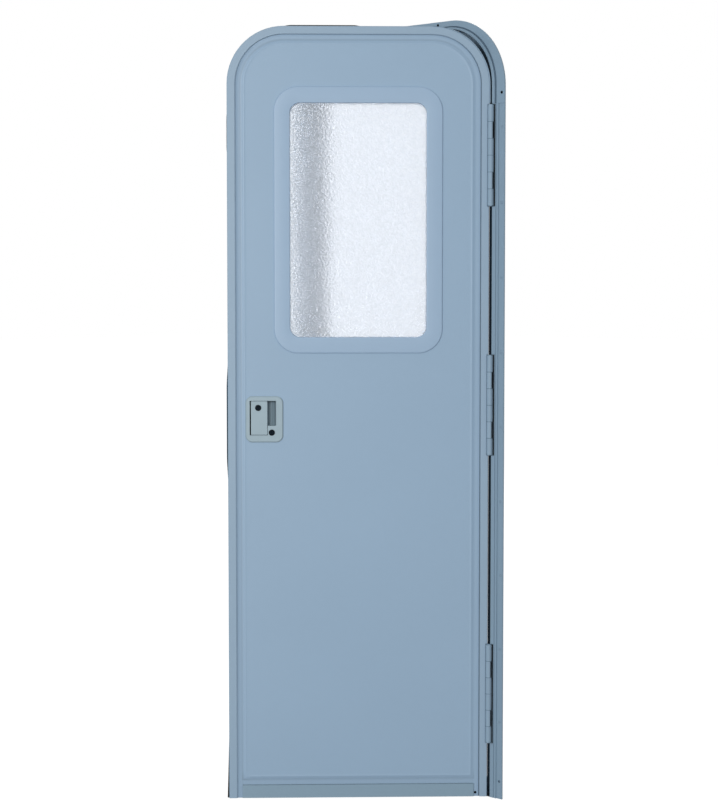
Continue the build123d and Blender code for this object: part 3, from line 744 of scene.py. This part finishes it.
def edge_beads():
    """Rubber beads on the latch and top edges: half ovals carried along them, seated a little into the edge.

    The edge bead swells in two places and the top bead rises along part of the top; these swells and the
    black top and foot beads are painted shade, dark strips for the shade along the leaf's edge. The foot
    bead is a wedge at the latch edge's foot, and its height grows evenly downward.
    """
    angle = np.linspace(-np.pi / 2, np.pi / 2, 13)

    def latch_bead(height, y, z):
        """Half oval on the latch edge: height times cos a out of the edge, and sin a in depth."""
        seat, half_width = 0.0004, 0.0022
        u = -LEAF_HALF + seat - (height[:, None] + seat) * np.cos(angle)
        return bar_part(leaf(u, y + half_width * np.sin(angle), z[:, None]))

    edge_y, plain_height = 0.0268, 0.0007
    z = np.linspace(LEAF_FOOT + 0.002, LEAF_TOP - 0.135, 240)
    upper_swell = 0.0011 * hump(z, 1.512, 1.578, 0.02)
    lock_swell = 0.0031 * hump(z, 0.80, 0.955, 0.075)
    edge = latch_bead(plain_height + upper_swell + lock_swell, edge_y, z)
    add_piece("edge_bead", [edge], "seal_rubber", "door")

    top_y, top_half_width, sunk, top_seat = -0.0005, 0.0024, 0.0006, 0.0003
    across = np.linspace(-0.175, 0.01, 60)
    rise = 0.0026 * hump(across, -0.155, -0.01, 0.02)[:, None]
    top = LEAF_TOP - sunk + (rise + top_seat) * np.cos(angle)
    head = leaf(across[:, None], top_y + top_half_width * np.sin(angle), top)
    # Black finish: painted shade along the top edge
    add_piece("top_bead", [bar_part(head)], "seal_rubber", "door", finish="lock_black")

    foot_y, shade_top, shade_height = 0.003, 0.150, 0.0042
    low = np.linspace(LEAF_FOOT, shade_top, 24)
    wedge = shade_height * (shade_top - low) / (shade_top - LEAF_FOOT)
    end = latch_bead(wedge, foot_y, low)
    # Black finish: painted shade at the latch edge's foot
    add_piece("foot_bead", [end], "seal_rubber", "door", finish="lock_black")


def notch_shade_plates():
    """Black plates inside the hinge jamb, behind its notches, as painted shade seen through them: rounded
    rectangles carried up each hinge.
    """
    half, overlap = (0.0062, 0.0006), np.array([-1.05, 1.05])
    plate, _ = rounded_rectangle((OPENING_HALF + 0.0097, BAND_BACK + half[1]), half, 0.0004, turns=4)
    parts = [post(plate, height + HINGE_LENGTH / 2 * overlap) for height in HINGE_HEIGHTS]
    add_piece("notch_shade_plates", parts, "lock_black", "frame")


def slit_shades():
    """Painted shade in the paddle's slits: black bent strips carried up or across them."""
    foot, shelf, top = LOCK_V - 0.0367, LOCK_V - 0.0153, LOCK_V + 0.0425
    slit_y, front_y, back_y = -0.0042, -0.0066, 0.0034
    hinge_u = LOCK_U + np.array([-0.03345, -0.03345, -0.0310])
    pull_u = LOCK_U + np.array([0.00705, 0.00785])
    across = LOCK_U + np.array([-0.033, 0.0078])
    slits = (
        leaf(hinge_u, np.array([front_y, back_y, back_y]), np.array([[foot], [top]])),
        leaf(pull_u, slit_y, np.array([[foot], [shelf]])),
        leaf(across[:, None], slit_y, np.array([foot, LOCK_V - 0.0360])),
    )
    add_piece("slit_shades", [sheet_part(grid) for grid in slits], "lock_black", "door", LEAF_OUT)


def recess_lining():
    """Lining of the finger recess: a quarter ellipse carried up it, with painted shade over its shallow
    outer part and under its top, and darker stripes.
    """
    width, depth, lip, top_shade = 0.0196, 0.0186, -0.0069, 0.034
    turn = np.linspace(0.06, np.pi / 2, 24)
    up = np.linspace(-0.0148, 0.0424, 30)[:, None]
    grid = leaf(LOCK_U + 0.007 + width * np.cos(turn), lip + depth * np.sin(turn), LOCK_V + up)
    # Painted shade toward the recess's outer part and under its top; darker stripes across it
    stripes = 0.5 - 0.5 * np.cos(8 * np.pi * np.cos(turn))
    shading = 0.03 + 0.36 * smooth(np.cos(turn) / 0.45) + 0.14 * stripes
    shading = shading + 0.34 * smooth((up - top_shade) / 0.009)
    parts = [(*sheet_part(grid), shading)]
    add_piece("recess_lining", parts, "lock_grey", "door", LEAF_OUT, finish="recess_grey")


def corner_sealant_shade():
    """Dark sealant in the channel of each frame corner, its tone darkened as painted shade for the channel:
    a low arc of varying width carried round the bend.
    """
    outside = 0.00525
    start, foot, reach = 0.11575, 1.6112, OPENING_HALF + 0.0085
    head, turn = OPENING_TOP + outside, OPENING_ROUND + outside
    bed, swell = -0.0017, 0.0006
    share = np.linspace(-1, 1, 9)
    corners = [(start, head), (reach, head), (reach, foot)]
    path, normals = rounded_path(corners, [0, turn, 0], closed=False, turns=30)
    away = share * (0.0010 + 0.0014 * np.abs(normals[:, :1]))
    depth = bed - swell * (1 - share ** 2)
    parts = [sheet_part(carried(path, normals, away, depth, on_side(jamb, side))) for side in (-1, 1)]
    add_piece("corner_sealant_shade", parts, "seal_rubber", "frame", -INTO, finish="joint_sealant")


def corner_lips():
    """Turned-in lip of each frame corner and rolled rim of the leaf's corner: ovals carried round the bends.

    Their width grows by a smooth step from nothing at the head. On the latch side it falls to nothing at the
    bend's end, and on the hinge side it grows by a second step and runs down to the hinge.
    """
    angle = full_turn(16)
    first_step, second_start, second_step = 0.35, 0.68, 0.22
    seat, middle_y, half_depth = 0.0004, -0.0035, 0.0014

    def bend(reach, top, turn, width, foot_width, side, place):
        """Oval bar round one corner; a width below nothing grows inward."""
        foot = top - turn if side < 0 else HINGE_END
        corners = [(reach - turn, top), (reach, top), (reach, foot)]
        path, normals = rounded_path(corners, [0, turn, 0], closed=False, turns=40, step=0.004)
        along = np.arctan2(np.clip(normals[:, :1], 0, 1), normals[:, 1:]) / (np.pi / 2)
        grow = width * smooth(along / first_step)
        if side < 0:
            grow = grow * smooth((1 - along) / first_step)
        else:
            grow = grow + (foot_width - width) * smooth((along - second_start) / second_step)
        base = np.sign(width) * seat
        away = -base + (grow + base) * (0.5 + 0.5 * np.cos(angle))
        depth = middle_y + half_depth * np.sin(angle)
        return bar_part(carried(path, normals, away, depth, on_side(place, side)))

    lips = [bend(OPENING_HALF, OPENING_TOP, OPENING_ROUND, -0.0022, -0.0024, side, jamb) for side in (-1, 1)]
    add_piece("corner_lips", lips, "frame_paint", "frame")
    rim = bend(LEAF_HALF, LEAF_TOP, LEAF_ROUND, 0.0014, 0.0019, 1, leaf)
    add_piece("corner_rim", [rim], "trim_paint", "door")


def seal_feet():
    """Rubber feet of the seal: rounded rectangles carried upward, one standing and one flat on the floor,
    the flat one a dark sheet as painted shade on the floor inside the gap.
    """
    flap, _ = rounded_rectangle((OPENING_HALF - 0.0215, 0.0360), (0.0205, 0.0008), 0.0006, turns=4)
    floor_shade_sheet, _ = rounded_rectangle((OPENING_HALF - 0.0265, 0.0160), (0.0255, 0.0192), 0.002, turns=4)
    parts = []
    for side in (-1, 1):
        parts.append(post(flap, (0.0002, 0.034), side))
        parts.append(post(floor_shade_sheet, (0.0001, 0.0006), side))
    add_piece("seal_feet", parts, "seal_rubber", "frame")


def knuckle_rings():
    """Thin dark rings round the joints between hinge knuckles, painted shade for the gaps there: circles
    carried up a narrow section.
    """
    angle = full_turn(40)
    section = np.array([[7.06, -0.5], [7.30, -0.35], [7.30, 0.35], [7.06, 0.5]]) / 1000
    radius, lift = section[:, :1], section[:, 1:]
    parts = []
    for height in HINGE_HEIGHTS:
        for row in range(1, HINGE_KNUCKLES):
            z = height + HINGE_LENGTH * (row / HINGE_KNUCKLES - 0.5) + lift + 0 * angle
            ring = np.stack([PIN_X + radius * np.cos(angle), PIN_Y + radius * np.sin(angle), z], -1)
            parts.append(ring_part(ring))
    add_piece("knuckle_rings", parts, "seal_rubber", "frame", finish="joint_sealant")


def oval_bar(middle, half, taper):
    """Softened level bar on the inside: squared ovals carried along it.

    They are drawn in at both ends by (1 - s^8)^(1/2), and grow slimmer to one end by the taper.
    """
    squareness = 0.55
    s = np.linspace(-1, 1, 33)[:, None]
    angle = full_turn(32)[None, :]
    ends = np.sqrt(np.maximum(1 - s ** 8, 0.002))
    slim = 1 - taper * (s + 1) / 2
    tall = half[1] * ends * slim * np.sign(np.sin(angle)) * np.abs(np.sin(angle)) ** squareness
    deep = half[2] * ends * np.sign(np.cos(angle)) * np.abs(np.cos(angle)) ** squareness
    axis = middle + half[0] * s[..., None] * LEAF_RIGHT
    return bar_part(axis + tall[..., None] * UP - deep[..., None] * LEAF_OUT)


def turned_boss(middle, profile):
    """Turned boss on the inside plate: circles through radius and height pairs, given in millimetres."""
    radius, height = (np.array(profile) / 1000).T[..., None]
    angle = full_turn(48)
    circle = np.cos(angle)[:, None] * -LEAF_RIGHT + np.sin(angle)[:, None] * UP
    return bar_part(middle + radius[..., None] * circle - height[..., None] * LEAF_OUT)


def inside_handles():
    """Lever and thumb turn of the inside: turned bosses with softened bars."""
    boss = [(6.5, 0), (6.5, 1.2), (5.6, 2.4), (5.2, 5.0), (5.6, 8.0), (6.2, 10.5)]
    lever = [
        turned_boss(leaf(LOCK_U, INSIDE_PLATE_Y, LEVER_V), boss),
        oval_bar(leaf(LOCK_U + 0.0225, 0.0465, LEVER_V), (0.029, 0.0065, 0.0045), taper=0.25),
    ]
    add_piece("soft_lever", lever, "inside_black", "door", None, ["inner_lever"])
    disc = [(13.0, 0), (13.0, 3.0), (12.7, 4.4), (11.8, 5.7), (10.4, 6.6), (8.5, 7.0)]
    knob = [
        turned_boss(leaf(LOCK_U, INSIDE_PLATE_Y, KNOB_V), disc),
        oval_bar(leaf(LOCK_U, 0.0455, KNOB_V), (0.0105, 0.0035, 0.0075), taper=0.0),
    ]
    add_piece("soft_knob", knob, "inside_black", "door", None, ["inner_knob"])


def screw_heads(centres, right, up, radius, rise):
    """Round heads on a face, from the rim to the middle: rise (1 - fall (r/R)^4) less a cross recess.

    The recess is deep where a point lies close to one of two crossed lines, out to the arms' length.
    """
    out = np.cross(right, up)
    share = np.array([1.0, 1.0, 0.97, 0.88, 0.72, 0.55, 0.4, 0.25, 0.1])[:, None]
    sunk, fall, recess_depth = -0.2, 0.55, 0.7
    arm_half, arm_slope, arm_length, end_slope = 0.16, 0.06, 0.62, 0.08
    angle = full_turn(32)[None, :]
    across, along = share * np.cos(angle), share * np.sin(angle)
    dome = np.where(np.arange(len(share)) == 0, sunk, 1 - share[:, 0] ** 4 * fall)[:, None]
    off_cross = np.minimum(np.abs(across), np.abs(along))
    recess = np.clip((arm_half - off_cross) / arm_slope, 0, 1)
    recess = recess * np.clip((arm_length - share) / end_slope, 0, 1)
    height = dome - recess_depth * recess
    head = radius * (across[..., None] * right + along[..., None] * up) + rise * height[..., None] * out
    return [bar_part(centre + head) for centre in np.asarray(centres).reshape(-1, 3)]


def add_screws():
    """Screw heads in the frame's holes, on the skin's foot, on the inside and in the lock's edge plates."""
    both = np.array([-1, 1])

    # Frame's flange, where the CAD has its holes: those of the jambs are painted over
    foot_z, corner_z, head_z = 0.041, 1.635, 1.8025
    corner_u, head_u = 0.13975, 0.057875
    painted = [jamb(side * SCREW_U, FLANGE_Y, np.linspace(0.181, 1.557, 9)) for side in both]
    foot = jamb(both * SCREW_U, FLANGE_Y, foot_z)
    dark = [
        jamb(both * SCREW_U, CORNER_Y, corner_z),
        jamb(both * corner_u, CORNER_Y, head_z),
        jamb(both * head_u, FLANGE_Y, head_z),
    ]

    # Skin's foot beside the bottom rail
    rail = leaf(0.2738, SKIN_FRONT, LEAF_FOOT + 0.009)

    # Window's inner ring: three up each side, two along its top and its foot; then the lock's inside plate
    from_edge, side_share, end_share = 0.0185, 0.62, 0.5
    ring_u, ring_v = RING_SIZE[0] - from_edge, RING_SIZE[1] - from_edge
    spots = np.array(
        [(s * ring_u, t * ring_v * side_share) for s in both for t in (-1, 0, 1)]
        + [(s * ring_u * end_share, t * ring_v) for s in both for t in both]
    )
    ring = leaf(spots[:, 0], INSIDE_RING_Y, WINDOW_V + spots[:, 1])
    plate_half = (0.034, 0.045)
    plate_u, plate_v = np.array([-1, 1, -1, 1]) * plate_half[0], np.array([-1, -1, 1, 1]) * plate_half[1]
    plate = leaf(LOCK_U + plate_u, INSIDE_PLATE_Y, LOCK_V + plate_v)

    # Lock's edge plate and the strike plate
    edge = leaf(-LEAF_HALF, EDGE_PLATE_Y, EDGE_PLATE_SCREWS)
    strike = jamb(-OPENING_HALF, EDGE_PLATE_Y, EDGE_PLATE_SCREWS)

    # Radius and rise of the heads
    flange_head, rail_head = (0.0032, 0.0013), (0.003, 0.001)
    inside_head, flush_head = (0.0032, 0.0012), (0.0030, 0.0006)
    for name, centres, right, size, slot, body, finish in (
        ("jamb_screws", np.concatenate(painted), RIGHT, flange_head, "frame_paint", "frame", None),
        ("foot_screws", foot, RIGHT, flange_head, "frame_paint", "frame", "joint_sealant"),
        ("flange_screws", np.concatenate(dark), RIGHT, flange_head, "lock_black", "frame", None),
        ("rail_screw", rail, LEAF_RIGHT, rail_head, "lock_black", "door", None),
        ("ring_screws", ring, -LEAF_RIGHT, inside_head, "inside_black", "door", None),
        ("plate_screws", plate, -LEAF_RIGHT, inside_head, "bare_steel", "door", None),
        ("edge_screws", edge, LEAF_OUT, flush_head, "bare_steel", "door", None),
        ("strike_screws", strike, INTO, flush_head, "bare_steel", "frame", None),
    ):
        add_piece(name, screw_heads(centres, right, UP, *size), slot, body, finish=finish)


pressed_skin()
window_surround()
edge_beads()
notch_shade_plates()
slit_shades()
recess_lining()
corner_sealant_shade()
corner_lips()
seal_feet()
knuckle_rings()
inside_handles()
add_screws()


def eye_rays(start):
    """1 for rays that show a surface to the eye, straight, in gloss or through glass; 0 for the others."""
    seen = start.node("LightPath", out="Is Camera Ray")
    for kind in ("Is Glossy Ray", "Is Transmission Ray"):
        seen = seen + start.node("LightPath", out=kind)
    return seen.math("MINIMUM", seen, 1.0)


def floor_white(name, level):
    """White floor: its lit part shows the shadow, and a glow lifts it to white for what the eye sees."""
    material, place = begin(name)
    bounce = 0.35
    matt = place.node("BsdfDiffuse", {}, {"Color": (bounce, bounce, bounce, 1.0)})
    faint = place.node("BsdfDiffuse", {}, {"Color": (level, level, level, 1.0)})
    glow = place.node("Emission", {}, {"Color": WHITE, "Strength": 1.0 - 0.45 * level})
    lifted = place.node("AddShader", {}, {0: faint, 1: glow})
    surface = place.node("MixShader", {}, {"Fac": eye_rays(place), 1: matt, 2: lifted})
    place.node("OutputMaterial", {}, {"Surface": surface})
    return material


def floor():
    """Pale floor, a flat grid at the object's foot."""
    reach = np.linspace(-30, 30, 3)
    u, v = np.meshgrid(reach, reach)
    points, (cells,) = sheet_part(np.stack([u, v, np.zeros_like(u)], -1))
    mesh = bpy.data.meshes.new("floor")
    mesh.from_pydata(points.tolist(), [], cells.tolist())
    mesh.materials.append(floor_white("floor_white", level=0.3))
    made = stand("floor", mesh)


def world(level):
    """Even daylight at a plain level that looks white to the eye, in gloss and through glass."""
    daylight = bpy.data.worlds.new("daylight")
    daylight.use_nodes = True
    daylight.node_tree.nodes.clear()
    start = Wire(daylight.node_tree)
    strength = level + (1 - level) * eye_rays(start)
    sky = start.node("Background", {}, {"Color": WHITE, "Strength": strength})
    start.node("OutputWorld", {}, {"Surface": sky})
    bpy.context.scene.world = daylight


def sight(turn, rise):
    """Right-hand side and back of what looks at the door from a turn to the right and a rise."""
    side = np.array([cos(turn), sin(turn), 0.0])
    return side, np.array([sin(turn) * cos(rise), -cos(turn) * cos(rise), sin(rise)])


def posed(place, side, back):
    """Matrix that stands at a place, with its X along side and its Z along back."""
    whole = np.eye(4)
    whole[:3, :3] = np.stack([side, np.cross(back, side), back], 1)
    whole[:3, 3] = place
    return Matrix(whole.tolist())


def lamp(name, turn, rise, level, tint):
    """Square soft lamp aimed at the leaf's middle; level 1 lights a facing white surface to white."""
    side, back = sight(turn, rise)
    data = bpy.data.lights.new(name, "AREA")
    data.size = LAMP_SIZE
    data.energy = level * np.pi ** 2 * LAMP_DISTANCE ** 2
    data.color = tint
    aim = leaf(0.0, FACE_Y, LAMP_HEIGHT)
    stand(name, data).matrix_world = posed(aim + back * LAMP_DISTANCE, side, back)


def camera():
    """Camera a few metres out, facing the open leaf, slightly above its middle."""
    side, back = sight(VIEW_TURN, VIEW_RISE)
    data = bpy.data.cameras.new("view")
    data.lens = LENS
    data.sensor_width = SENSOR
    aim = leaf(0.0, FACE_Y, VIEW_HEIGHT) + VIEW_RIGHT * side + VIEW_UP * np.cross(back, side)
    view = stand("view", data)
    view.matrix_world = posed(aim + VIEW_DISTANCE * back, side, back)
    bpy.context.scene.camera = view


bpy.context.scene.view_settings.view_transform = "Standard"
camera()
floor()
world(level=0.50)
lamp("key", turn=VIEW_TURN - radians(20), rise=radians(6), level=0.56, tint=(0.98, 0.995, 1.0))
lamp("back_fill", turn=VIEW_TURN + radians(160), rise=radians(25), level=0.22, tint=(1.0, 1.0, 1.0))
